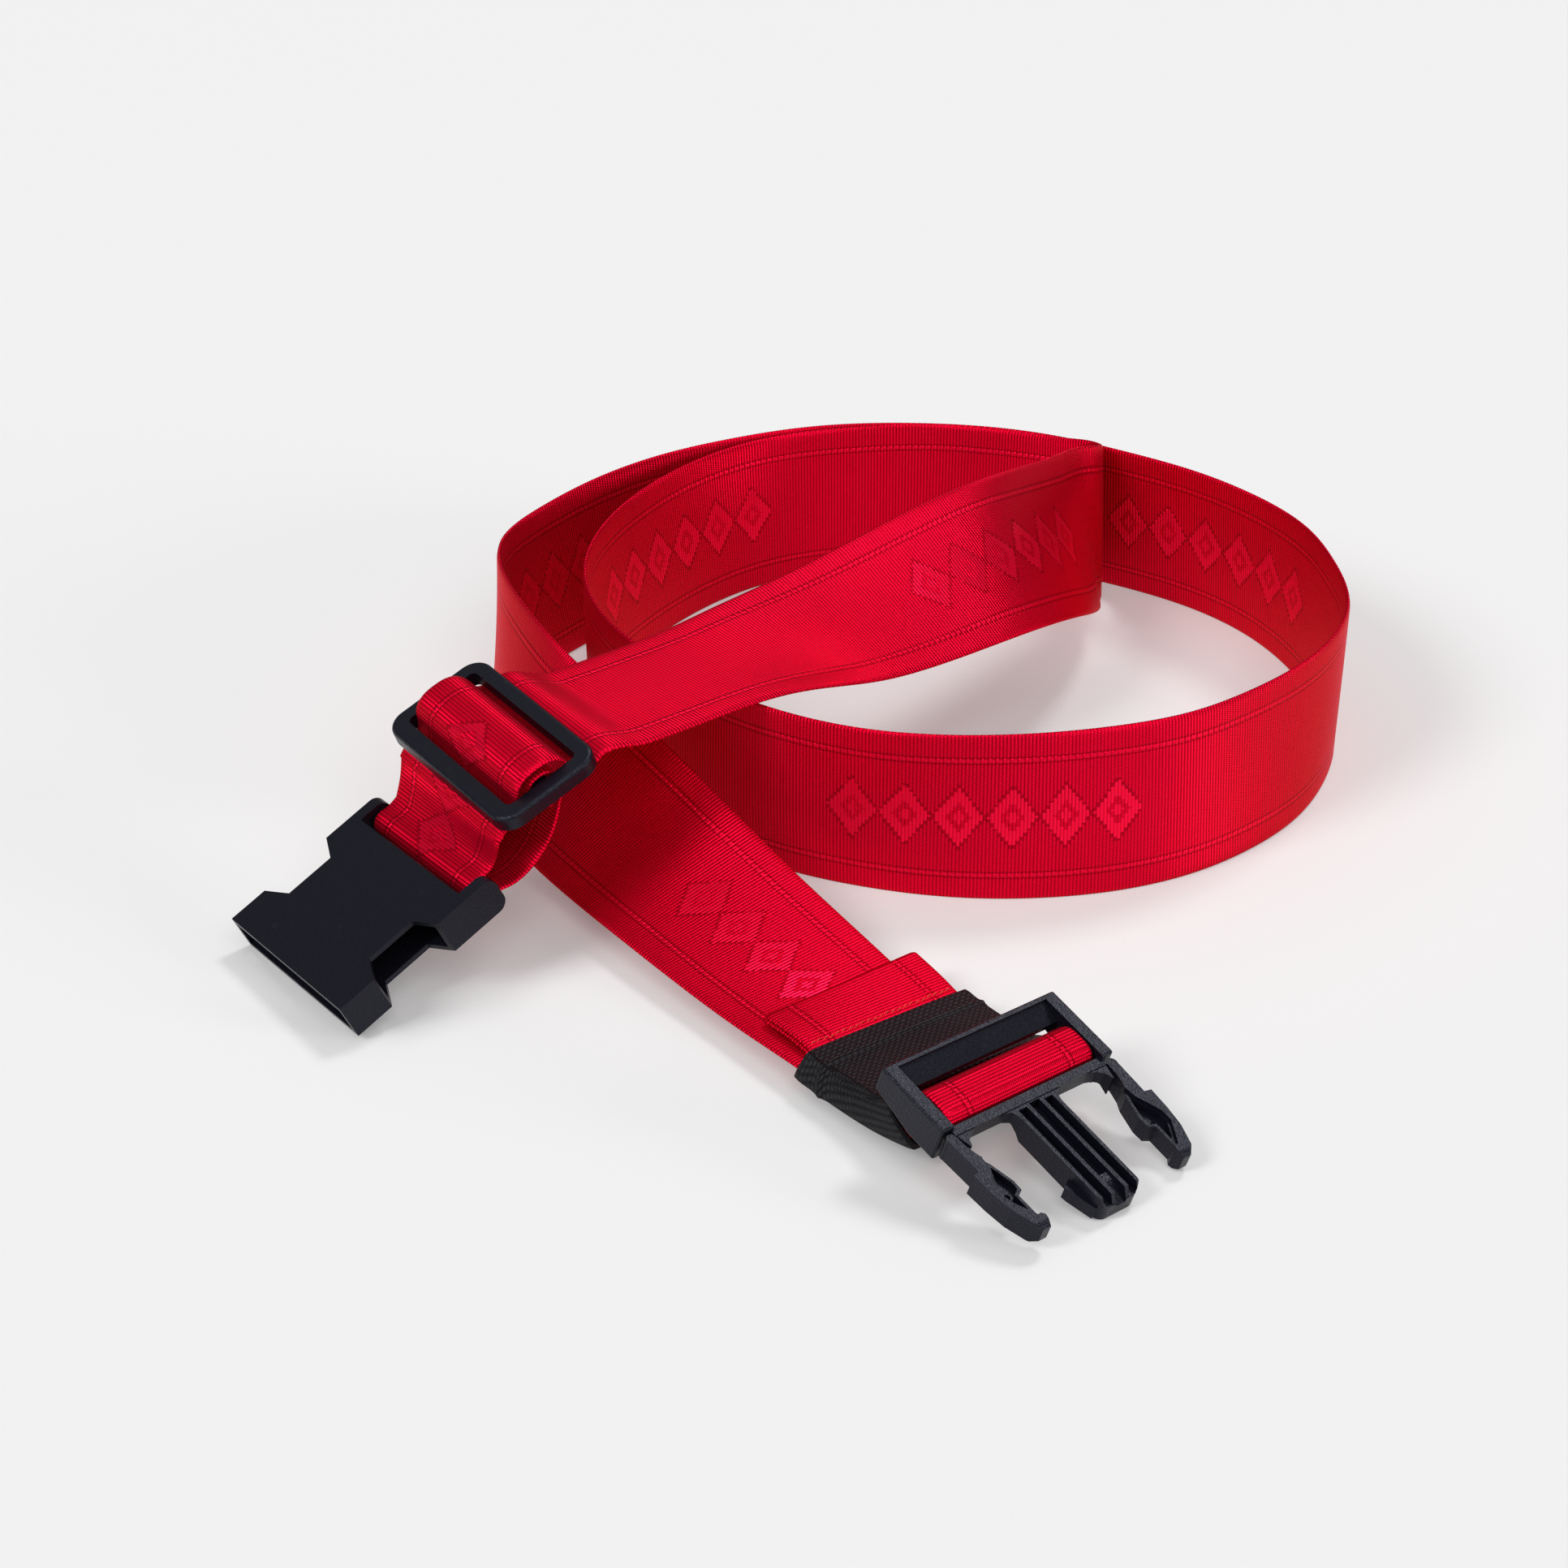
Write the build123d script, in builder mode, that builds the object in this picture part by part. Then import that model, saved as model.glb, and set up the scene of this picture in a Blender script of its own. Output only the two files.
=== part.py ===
from build123d import *
import math
import os

# Luggage strap, laid out as a standing two-turn coil with its buckle halves open.
# Millimetres, +Z up from the table. +Y runs from the buckles to the back of the coil.

# ---- webbing and the coil it is laid in ----
WEB_WIDTH = 50.0
WEB_THICK = 1.4
LAP_STEP = 7.0
CORNER_STEP = 2.2
LAYOUT_MID_X, LAYOUT_MID_Y, LAYOUT_FLOOR = 8.45, -39.04, 0.2

# Stations of the webbing's centre line: x, y, z and the lean of its width away from
# upright, in degrees about the centre line. From under the plug to the tri-glide.
ROUTE = [
    (51.0, -179.5, 8.0, 93),
    (44.5, -171.5, 6.3, 93),
    (34.5, -159.5, 5.6, 93),
    (22.0, -144.5, 6.0, 93),
    (5.0, -123.0, 8.0, 87),
    (-11.5, -102.0, 11.0, 81),
    (-28.0, -81.0, 15.0, 73),
    (-44.5, -60.5, 20.0, 60),
    (-61.0, -40.0, 25.5, 45),
    (-74.0, -16.5, 28.0, 31),
    (-81.5, 9.0, 28.0, 17),
    (-86.0, 36.0, 27.0, 5),
    (-84.0, 62.0, 26.0, -4),
    (-72.0, 85.0, 25.5, -8),
    (-56.0, 106.0, 25.5, -9),
    (-37.0, 124.0, 25.5, -7),
    (-15.0, 137.5, 25.5, -4),
    (9.5, 147.5, 25.5, -2),
    (35.5, 152.0, 25.5, 0),
    (61.5, 150.5, 25.5, 1),
    (87.0, 143.0, 25.5, 3),
    (109.5, 130.5, 25.5, 5),
    (130.5, 115.0, 25.5, 5),
    (147.3, 95.5, 25.5, 3),
    (159.0, 72.0, 25.5, 0),
    (164.5, 46.5, 25.5, 0),
    (165.0, 20.0, 25.5, -1),
    (158.5, -2.0, 25.5, -1),
    (147.0, -21.5, 25.5, 1),
    (131.0, -38.5, 25.5, 3),
    (112.5, -52.0, 25.5, 4),
    (91.0, -60.5, 25.5, 5),
    (68.5, -64.5, 25.5, 4),
    (45.5, -64.5, 25.5, 2),
    (22.5, -60.0, 25.5, 0),
    (1.5, -51.0, 25.5, 0),
    (-17.5, -37.5, 25.5, 0),
    (-33.5, -21.0, 25.5, 0),
    (-46.5, -2.0, 25.5, 0),
    (-55.5, 19.0, 25.5, 0),
    (-59.0, 44.5, 25.5, -1),
    (-54.0, 72.5, 25.5, -3),
    (-42.0, 98.0, 25.5, -5),
    (-25.5, 120.5, 25.5, -5),
    (-4.5, 137.5, 25.5, -4),
    (22.5, 146.3, 25.5, -3),
    (51.0, 147.8, 25.5, -3),
    (78.0, 141.3, 25.5, -3),
    (91.0, 134.5, 26.2, -5),
    (98.6, 128.5, 27.5, -5),
    (101.6, 121.5, 29.0, 0),
    (100.4, 115.0, 31.0, 8),
    (97.0, 108.5, 33.5, 14),
    (92.5, 96.5, 37.0, 22),
    (87.5, 84.0, 41.0, 30),
    (75.0, 60.0, 49.0, 43),
    (57.5, 38.0, 53.0, 53),
    (36.0, 19.5, 51.8, 63),
    (13.5, 2.0, 50.5, 74),
    (-8.0, -16.5, 52.4, 85),
    (-19.0, -26.0, 53.0, 89),
    (-29.5, -34.8, 53.2, 90),
    (-40.5, -44.0, 53.3, 90),
    (-51.0, -52.5, 53.4, 90),
]
# First and last station of each stretch of webbing, and whether it holds the sharp corner.
STRETCHES = [
    ("webbing_plug_run", 0, 9, False),
    ("webbing_outer_turn", 9, 17, False),
    ("webbing_outer_back", 17, 24, False),
    ("webbing_right_turn", 24, 30, False),
    ("webbing_front_run", 30, 37, False),
    ("webbing_inner_turn", 37, 44, False),
    ("webbing_inner_back", 44, 48, False),
    ("webbing_corner", 48, 53, True),
    ("webbing_glide_run", 53, len(ROUTE) - 1, False),
]

# ---- side-release buckle, 50 mm ----
BUCKLE_WIDTH = 59.4
BUCKLE_THICK = 10.9
SLOT_HALF = 25.8
PLUG_ORIGIN = (46.0, -173.4, 27.2)
PLUG_YAW, PLUG_PITCH, PLUG_ROLL = -49.3, -18.5, 2.8
PLUG_RAIL_LENGTH = 23.4
REAR_BAR_LENGTH = 7.0
CENTRE_BAR = (15.5, -4.1)
CENTRE_BAR_SIZE = (9.0, 5.0)
CROSSBAR = (22.3, 25.0, -1.4, -5.4)
CORNER_WEB = [
    (19.5, 25.0),
    (21.8, 25.6),
    (23.6, 27.0),
    (24.5, 29.2),
    (24.9, 29.2),
    (25.3, 27.4),
    (25.9, 25.2),
    (25.9, 22.3),
    (19.5, 22.3),
]
TONGUE_HALF, TONGUE_END = 6.9, 59.0
TONGUE_TOP, TONGUE_BOTTOM = -1.7, -8.5
TONGUE_ROOT = [(0.0, 24.0), (9.6, 24.0), (9.6, 25.0), (7.6, 26.0), (6.9, 28.4), (0.0, 29.0)]
TONGUE_BARB = [(6.4, 46.8), (9.5, 48.6), (9.2, 50.6), (7.2, 57.4), (6.0, 57.4)]
BARB_TOP = -4.8
SIDE_GROOVE_X, SIDE_GROOVE_W = 4.4, 2.9
MID_GROOVE_W, MID_GROOVE_END = 3.5, 51.0
GROOVE_DEPTH = 2.6
PRONG_PIVOT = (27.9, 25.3)
PRONG_ROOT_R = 1.5
PRONG_TOP, PRONG_BOTTOM = -1.5, -7.9
PRONG_OUTLINE = [
    (29.3, 25.3),
    (28.8, 36.4),
    (30.9, 36.8),
    (30.5, 43.2),
    (29.6, 49.2),
    (27.5, 55.0),
    (25.8, 57.2),
    (23.2, 57.2),
    (22.7, 54.2),
    (23.9, 52.8),
    (24.0, 46.2),
    (22.1, 45.2),
    (22.0, 42.0),
    (23.8, 35.2),
    (25.2, 32.6),
    (26.2, 29.0),
    (26.4, 25.3),
]
# The inner half of each prong steps down behind this line, then dips into a rimmed pocket.
PRONG_STEP = [
    (25.1, 33.2),
    (25.3, 36.5),
    (27.1, 40.2),
    (28.4, 43.5),
    (28.3, 46.9),
    (26.2, 50.4),
    (24.5, 53.4),
    (21.0, 53.0),
    (20.0, 38.0),
    (23.0, 33.5),
]
PRONG_POCKET = [
    (24.9, 35.4),
    (25.1, 37.2),
    (26.7, 40.6),
    (27.9, 43.8),
    (27.7, 46.6),
    (25.9, 49.8),
    (24.8, 51.4),
    (24.8, 45.6),
    (22.9, 44.5),
    (22.8, 42.2),
    (24.2, 36.6),
]
PRONG_STEP_DEPTH, PRONG_POCKET_DEPTH = 1.0, 1.9
SOCKET_ORIGIN = (-132.3, -117.1, 10.9)
SOCKET_YAW, SOCKET_PITCH, SOCKET_ROLL = 36.6, 25.9, 1.9
SOCKET_MOUTH_BAND = 11.7
SOCKET_WINDOW_END = 33.9
SOCKET_SHOULDER = 3.7
SOCKET_NOTCH = 8.0
SOCKET_DECK_END = 43.8
SOCKET_LENGTH = 53.0
SOCKET_WALL = 1.5
SOCKET_BAR = (49.5, -5.5)
SOCKET_BAR_R, SOCKET_TURN_R = 2.6, 3.7

# ---- tri-glide, 50 mm ----
GLIDE_ORIGIN = (-79.5, -71.9, 54.2)
GLIDE_YAW, GLIDE_PITCH, GLIDE_ROLL = 34.6, 22.2, -4.3
GLIDE_LENGTH, GLIDE_WIDTH, GLIDE_THICK = 61.0, 33.2, 4.5
GLIDE_CORNER = 6.0
GLIDE_BAR_HALF, GLIDE_BAR_TOP = 2.2, -1.4
GLIDE_REAR_BAR, GLIDE_FRONT_BAR = 4.6, 5.3

# ---- keeper, hem and stitching ----
KEEPER_THICK = 1.2
KEEPER_EASE = 1.0
KEEPER_FRONT, KEEPER_REAR = 9.0, 42.4
THREAD_HEIGHT, THREAD_WIDTH = 0.3, 1.1
TAIL_START, HEM_FOLD, HEM_LENGTH = 10.5, 63.5, 17.5
SEAM_INSET = 1.0
LAYER_GAP = 0.1
# How far the tail lies over the run, and how far it has crept sideways, along the run from the plug.
TAIL_LIFT = [
    (4.0, 8.0, 0.4),
    (10.0, 5.3, 0.8),
    (16.0, 3.5, 1.5),
    (24.0, 2.8, 2.6),
    (42.0, 2.6, 4.4),
    (48.0, 3.1, 5.0),
    (66.0, 3.1, 5.6),
]

# ---- paths of the webbing in the y-z plane of each hard part ----
PLUG_WRAP = [
    (17.4, -13.0),
    (20.0, -10.0),
    (21.3, -6.8),
    (21.3, -4.0),
    (19.9, -1.2),
    (17.0, -0.4),
    (14.0, -0.4),
    (11.0, -1.2),
    (9.5, -4.0),
    (9.3, -7.2),
    (8.0, -10.4),
    (5.0, -13.0),
]
GLIDE_WRAP = [
    (18.0, -6.3),
    (13.2, -6.2),
    (10.4, -4.8),
    (9.0, -2.0),
    (7.8, 1.0),
    (4.8, 3.6),
    (0.0, 4.4),
    (-4.8, 3.6),
    (-7.6, 1.0),
    (-8.4, -2.0),
    (-9.6, -4.6),
    (-12.0, -6.0),
    (-14.5, -6.9),
    (-17.5, -9.0),
]
SEWN_END = [
    (2.2, -11.4),
    (4.2, -8.2),
    (4.7, -4.4),
    (4.0, -1.0),
    (2.4, 0.5),
    (0.0, 0.9),
    (-2.4, 0.5),
    (-4.0, -1.0),
    (-4.7, -4.0),
    (-4.2, -6.8),
    (-2.4, -8.8),
    (0.2, -10.2),
]


def solve_spline(knots, values):
    """Second derivatives of the natural cubic spline through the values."""
    count = len(knots)
    gaps = [knots[i + 1] - knots[i] for i in range(count - 1)]
    upper = [0.0] * count
    right = [0.0] * count
    for i in range(1, count - 1):
        slope = (values[i + 1] - values[i]) / gaps[i] - (values[i] - values[i - 1]) / gaps[i - 1]
        pivot = 2 * (gaps[i - 1] + gaps[i]) - gaps[i - 1] * upper[i - 1]
        upper[i] = gaps[i] / pivot
        right[i] = (6 * slope - gaps[i - 1] * right[i - 1]) / pivot
    bend = [0.0] * count
    for i in range(count - 2, 0, -1):
        bend[i] = right[i] - upper[i] * bend[i + 1]
    return bend


def read_spline(knots, values, bend, s):
    """Value of the spline at s."""
    i = 0
    while i < len(knots) - 2 and s > knots[i + 1]:
        i += 1
    gap = knots[i + 1] - knots[i]
    a = (knots[i + 1] - s) / gap
    b = 1 - a
    curve = ((a**3 - a) * bend[i] + (b**3 - b) * bend[i + 1]) * gap * gap / 6
    return a * values[i] + b * values[i + 1] + curve


def make_curve(points):
    """Knots and splines of a list of tuples, spaced by the distance between their first columns."""
    knots = [0.0]
    for p, q in zip(points, points[1:]):
        knots.append(knots[-1] + math.dist(p[:3], q[:3]))
    columns = [[p[k] for p in points] for k in range(len(points[0]))]
    bends = [solve_spline(knots, column) for column in columns]
    return knots, columns, bends


def read_curve(curve, s):
    knots, columns, bends = curve
    return [read_spline(knots, column, bend, s) for column, bend in zip(columns, bends)]


def at(x, y, z):
    """A laid-out point in the object's own frame, whose origin is under the middle."""
    return Vector(x - LAYOUT_MID_X, y - LAYOUT_MID_Y, z - LAYOUT_FLOOR)


def pose(origin, yaw, pitch, roll):
    """Plane of a hard part: local y along yaw and pitch, local z out of its top face."""
    yaw, pitch, roll = math.radians(yaw), math.radians(pitch), math.radians(roll)
    ahead = Vector(math.cos(pitch) * math.cos(yaw), math.cos(pitch) * math.sin(yaw), math.sin(pitch))
    side = Vector(math.sin(yaw), -math.cos(yaw), 0)
    up = side.cross(ahead)
    tilted = side * math.cos(roll) + up * math.sin(roll)
    return Plane(origin=at(*origin), x_dir=tilted, z_dir=tilted.cross(ahead))


def section(curve, s):
    """Centre, width direction and heading of the webbing at s along a station curve."""
    x, y, z, lean = read_curve(curve, s)
    step = 0.5
    last = curve[0][-1]
    low, high = max(s - step, 0.0), min(s + step, last)
    before, after = read_curve(curve, low), read_curve(curve, high)
    heading = Vector(*[after[k] - before[k] for k in range(3)]).normalized()
    upright = (Vector(0, 0, 1) - heading * heading.Z).normalized()
    lean = math.radians(lean)
    across = upright * math.cos(lean) + heading.cross(upright) * math.sin(lean)
    return at(x, y, z), across, heading


def web(sections, width=WEB_WIDTH, thick=WEB_THICK):
    """A stretch of webbing lofted through its cross-sections."""
    with BuildPart() as piece:
        for centre, across, heading in sections:
            with BuildSketch(Plane(origin=centre, x_dir=across, z_dir=heading)):
                Rectangle(width, thick)
        loft(ruled=True)
    return piece


def spaced(start, end, step):
    count = max(2, round((end - start) / step) + 1)
    return [start + (end - start) * i / (count - 1) for i in range(count)]


def side_path(plane, points, step):
    """Cross-sections along a path drawn in a hard part's y-z plane, full width across it."""
    knots, columns, bends = make_curve([(y, z, 0.0) for y, z in points])
    found = []
    for s in spaced(0.0, knots[-1], step):
        y, z = [read_spline(knots, columns[k], bends[k], s) for k in range(2)]
        low, high = max(s - 0.2, 0.0), min(s + 0.2, knots[-1])
        after = [read_spline(knots, columns[k], bends[k], high) for k in range(2)]
        before = [read_spline(knots, columns[k], bends[k], low) for k in range(2)]
        heading = plane.y_dir * (after[0] - before[0]) + plane.z_dir * (after[1] - before[1])
        heading = heading.normalized()
        found.append((plane.origin + plane.y_dir * y + plane.z_dir * z, plane.x_dir * -1, heading))
    return found


def over_offsets(s):
    """How far above and beside the run its top layer lies at s."""
    knots = [row[0] for row in TAIL_LIFT]
    found = []
    for k in (1, 2):
        values = [row[k] for row in TAIL_LIFT]
        found.append(read_spline(knots, values, solve_spline(knots, values), s))
    return found


def over_run(s, rise=0.0):
    """The top layer over the run at s, moved by rise along its normal."""
    centre, across, heading = section(route, s)
    lift, shift = over_offsets(s)
    return centre + across * shift + across.cross(heading) * (lift + rise), across, heading


def bridge(first, last, count):
    """Cross-sections of a soft lead that leaves one section and arrives at another."""
    found = []
    start, start_across, start_heading = first
    end, end_across, end_heading = last
    reach = (end - start).length
    for i in range(count):
        t = i / (count - 1)
        h0, h1 = 2 * t**3 - 3 * t**2 + 1, 3 * t**2 - 2 * t**3
        g0, g1 = t**3 - 2 * t**2 + t, t**3 - t**2
        centre = start * h0 + end * h1 + (start_heading * g0 + end_heading * g1) * reach
        d0, d1 = 6 * t * t - 6 * t, 6 * t - 6 * t * t
        e0, e1 = 3 * t * t - 4 * t + 1, 3 * t * t - 2 * t
        across = (start_across * (1 - t) + end_across * t).normalized()
        heading = start * d0 + end * d1 + (start_heading * e0 + end_heading * e1) * reach
        heading = (heading - across * heading.dot(across)).normalized()
        found.append((centre, across, heading))
    found[0], found[-1] = first, last
    return found


def save(piece, label):
    piece.part.label = label
    export_step(piece.part, "parts/" + label + ".step")


os.makedirs("parts", exist_ok=True)
PLUG = pose(PLUG_ORIGIN, PLUG_YAW, PLUG_PITCH, PLUG_ROLL)
SOCKET = pose(SOCKET_ORIGIN, SOCKET_YAW, SOCKET_PITCH, SOCKET_ROLL)
GLIDE = pose(GLIDE_ORIGIN, GLIDE_YAW, GLIDE_PITCH, GLIDE_ROLL)
PLUG_SIDE = Plane(origin=PLUG.origin, x_dir=PLUG.y_dir, z_dir=PLUG.x_dir)
SOCKET_SIDE = Plane(origin=SOCKET.origin, x_dir=SOCKET.y_dir, z_dir=SOCKET.x_dir)
GLIDE_SIDE = Plane(origin=GLIDE.origin, x_dir=GLIDE.y_dir, z_dir=GLIDE.x_dir)

# ---- the coil ----
route = make_curve(ROUTE)
for label, first, last, sharp in STRETCHES:
    step = CORNER_STEP if sharp else LAP_STEP
    lap = [section(route, s) for s in spaced(route[0][first], route[0][last], step)]
    save(web(lap), label)

# ---- webbing round the plug's centre bar, and its two leads ----
plug_wrap = side_path(PLUG, PLUG_WRAP, 1.6)
save(web(plug_wrap), "webbing_plug_wrap")
start_centre, start_across, start_heading = section(route, 0.0)
leaving = (start_centre, start_across, start_heading * -1)
save(web(bridge(leaving, plug_wrap[0], 7)), "webbing_plug_lead_lower")

# ---- the tail: top layer from the plug back to its hem ----
tail_sections = [over_run(s) for s in spaced(TAIL_START, HEM_FOLD, 5.0)]
save(web(tail_sections), "webbing_tail")
save(web(bridge(plug_wrap[-1], tail_sections[0], 8)), "webbing_plug_lead_upper")
hem_start = HEM_FOLD - HEM_LENGTH
save(web([over_run(s, -WEB_THICK - LAYER_GAP) for s in spaced(hem_start, HEM_FOLD, 5.0)]), "hem_fold")
thread_rise = (WEB_THICK + THREAD_HEIGHT) / 2 + LAYER_GAP
seam = [over_run(s, thread_rise) for s in (hem_start + SEAM_INSET, hem_start + SEAM_INSET + THREAD_WIDTH)]
save(web(seam, WEB_WIDTH - 4.0, THREAD_HEIGHT), "hem_stitch")

# ---- keeper: an elastic loop round both layers ----
with BuildPart() as keeper:
    for grow, mode in ((KEEPER_THICK, Mode.ADD), (0.0, Mode.SUBTRACT)):
        for along in spaced(KEEPER_FRONT, KEEPER_REAR, 5.0):
            centre, across, heading = section(route, along)
            lift, shift = over_offsets(along)
            middle = centre + across.cross(heading) * (lift / 2) + across * (shift / 2)
            width = WEB_WIDTH + shift + KEEPER_EASE + 2 * grow
            height = lift + WEB_THICK + KEEPER_EASE + 2 * grow
            with BuildSketch(Plane(origin=middle, x_dir=across, z_dir=heading)):
                RectangleRounded(width, height, 1.0 + grow)
        loft(ruled=True, mode=mode)
save(keeper, "keeper_band")
seam_rise = (WEB_THICK + KEEPER_EASE + THREAD_HEIGHT) / 2 + KEEPER_THICK + 0.05
seam = [over_run(s, seam_rise) for s in (KEEPER_REAR - 7.0, KEEPER_REAR - 6.0)]
save(web(seam, WEB_WIDTH - 4.0, THREAD_HEIGHT), "keeper_seam")

# ---- plug: frame with a ridged guide tongue ----
with BuildPart() as plug_frame:
    rail_side = [(0, 0), (PLUG_RAIL_LENGTH, 0), (PLUG_RAIL_LENGTH, -10.3), (14.0, -10.3), (0, -7.2)]
    with BuildSketch(PLUG_SIDE):
        Polygon(*rail_side, align=None)
    extrude(amount=BUCKLE_WIDTH / 2, both=True)
    fillet(plug_frame.edges(), 0.7)
    pocket = [(REAR_BAR_LENGTH, 0.5), (25, 0.5), (25, -12), (-2, -12), (-2, -4.5), (REAR_BAR_LENGTH, -4.5)]
    with BuildSketch(PLUG_SIDE):
        Polygon(*pocket, align=None)
    extrude(amount=SLOT_HALF, both=True, mode=Mode.SUBTRACT)
    with BuildSketch(PLUG_SIDE):
        Polygon((1.6, 0.5), (8.0, 0.5), (8.0, -3.6), (1.6, -0.9), align=None)
    extrude(amount=SLOT_HALF, both=True, mode=Mode.SUBTRACT)
    near, far, top, bottom = CROSSBAR
    with BuildSketch(PLUG_SIDE):
        Polygon((near, top), (far, top), (far, bottom), (near, bottom), align=None)
    extrude(amount=SLOT_HALF + 0.5, both=True)
    with BuildSketch(PLUG_SIDE):
        with Locations(CENTRE_BAR):
            SlotOverall(CENTRE_BAR_SIZE[0], CENTRE_BAR_SIZE[1])
    extrude(amount=SLOT_HALF + 0.3, both=True)
    with BuildSketch(PLUG.offset(TONGUE_BOTTOM)):
        with Locations((0, (near + TONGUE_END) / 2)):
            RectangleRounded(2 * TONGUE_HALF, TONGUE_END - near, 3.0)
        for side in (-1, 1):
            Polygon(*[(side * x, y) for x, y in TONGUE_ROOT], align=None)
            Polygon(*[(side * x, y) for x, y in CORNER_WEB], align=None)
    extrude(amount=TONGUE_TOP - TONGUE_BOTTOM)
    with BuildSketch(PLUG.offset(TONGUE_BOTTOM)):
        for side in (-1, 1):
            Polygon(*[(side * x, y) for x, y in TONGUE_BARB], align=None)
    extrude(amount=BARB_TOP - TONGUE_BOTTOM)
    with BuildSketch(PLUG_SIDE):
        Polygon(
            (near - 1, bottom),
            (far + 1.5, bottom),
            (far + 5, TONGUE_BOTTOM),
            (far + 5, TONGUE_BOTTOM - 1),
            (near - 1, TONGUE_BOTTOM - 1),
            align=None,
        )
    extrude(amount=SLOT_HALF + 0.3, both=True, mode=Mode.SUBTRACT)
    with BuildSketch(PLUG_SIDE):
        Polygon(
            (TONGUE_END - 2.4, TONGUE_TOP + 1),
            (TONGUE_END + 1, TONGUE_TOP + 1),
            (TONGUE_END + 1, TONGUE_TOP - 3.2),
            (TONGUE_END - 0.4, TONGUE_TOP - 2.4),
            align=None,
        )
    extrude(amount=TONGUE_HALF + 3, both=True, mode=Mode.SUBTRACT)
    with BuildSketch(PLUG.offset(TONGUE_TOP)):
        for x in (-SIDE_GROOVE_X, SIDE_GROOVE_X):
            with Locations((x, (far + 1 + TONGUE_END + 2) / 2)):
                Rectangle(SIDE_GROOVE_W, TONGUE_END + 2 - far - 1)
        with Locations((0, (far + 0.4 + MID_GROOVE_END) / 2)):
            Rectangle(MID_GROOVE_W, MID_GROOVE_END - far - 0.4)
    extrude(amount=-GROOVE_DEPTH, mode=Mode.SUBTRACT)
    with BuildSketch(PLUG_SIDE):
        Polygon(
            (MID_GROOVE_END - 1, TONGUE_TOP + 1),
            (TONGUE_END + 1, TONGUE_TOP + 1),
            (TONGUE_END + 1, TONGUE_TOP - 4.2),
            (MID_GROOVE_END + 2.4, TONGUE_TOP - 0.8),
            (MID_GROOVE_END - 1, TONGUE_TOP - 0.8),
            align=None,
        )
    extrude(amount=MID_GROOVE_W / 2, both=True, mode=Mode.SUBTRACT)
save(plug_frame, "plug_frame")

# ---- prongs ----
for label, side in (("prong_left", 1), ("prong_right", -1)):
    with BuildPart() as prong:
        with BuildSketch(PLUG.offset(PRONG_BOTTOM)):
            Polygon(*[(side * x, y) for x, y in PRONG_OUTLINE], align=None)
            with Locations((side * PRONG_PIVOT[0], PRONG_PIVOT[1])):
                Circle(PRONG_ROOT_R)
        extrude(amount=PRONG_TOP - PRONG_BOTTOM)
        pocket_top = PRONG_TOP - PRONG_STEP_DEPTH
        for top, outline, depth in (
            (PRONG_TOP, PRONG_STEP, PRONG_STEP_DEPTH),
            (pocket_top, PRONG_POCKET, PRONG_POCKET_DEPTH),
        ):
            with BuildSketch(PLUG.offset(top)):
                Polygon(*[(side * x, y) for x, y in outline], align=None)
            extrude(amount=-depth, mode=Mode.SUBTRACT)
        with BuildSketch(PLUG.offset(pocket_top - PRONG_POCKET_DEPTH)):
            with Locations((side * 25.6, 44.4)):
                Circle(0.9)
        extrude(amount=-0.6, mode=Mode.SUBTRACT)
        with BuildSketch(PLUG_SIDE):
            Polygon((53.0, 0), (60, 0), (60, -3.0), (57.2, -2.6), align=None)
            Polygon((54.0, -9), (60, -9), (60, -6.2), (57.4, -6.6), align=None)
        extrude(amount=BUCKLE_WIDTH, both=True, mode=Mode.SUBTRACT)
    save(prong, label)

# ---- socket ----
with BuildPart() as socket_shell:
    half = BUCKLE_WIDTH / 2
    waist = half - SOCKET_NOTCH
    right_edge = [
        (half, 0),
        (half, SOCKET_MOUTH_BAND),
        (waist, SOCKET_MOUTH_BAND + SOCKET_SHOULDER),
        (waist, SOCKET_WINDOW_END - SOCKET_SHOULDER),
        (half, SOCKET_WINDOW_END),
        (half, SOCKET_LENGTH),
    ]
    left_edge = [(-x, y) for x, y in reversed(right_edge)]
    with BuildSketch(SOCKET.offset(-BUCKLE_THICK)):
        Polygon(*(right_edge + left_edge), align=None)
    extrude(amount=BUCKLE_THICK)
    rear_edges = socket_shell.edges().filter_by(Axis(SOCKET.origin, SOCKET.x_dir))
    rear_edges = rear_edges.sort_by(Axis(SOCKET.origin, SOCKET.y_dir))[-2:]
    fillet(rear_edges, 3.4)
    with BuildSketch(SOCKET.offset(-BUCKLE_THICK - 1)):
        with Locations((0, SOCKET_DECK_END + 10)):
            Rectangle(2 * SLOT_HALF, 20)
    extrude(amount=BUCKLE_THICK + 2, mode=Mode.SUBTRACT)
    with BuildSketch(SOCKET.offset(-BUCKLE_THICK + SOCKET_WALL)):
        with Locations((0, 19.0)):
            Rectangle(BUCKLE_WIDTH - 2 * SOCKET_WALL, 42.0)
    extrude(amount=BUCKLE_THICK - 2 * SOCKET_WALL, mode=Mode.SUBTRACT)
    with BuildSketch(SOCKET_SIDE):
        with Locations(SOCKET_BAR):
            Circle(SOCKET_BAR_R)
    extrude(amount=SLOT_HALF + 0.4, both=True)
    with BuildSketch(SOCKET.offset(-BUCKLE_THICK + SOCKET_WALL - 0.2)):
        for x in (-8.0, 8.0):
            with Locations((x, 18.0)):
                Rectangle(1.0, 30.0)
    extrude(amount=1.2)
save(socket_shell, "socket_shell")

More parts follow.
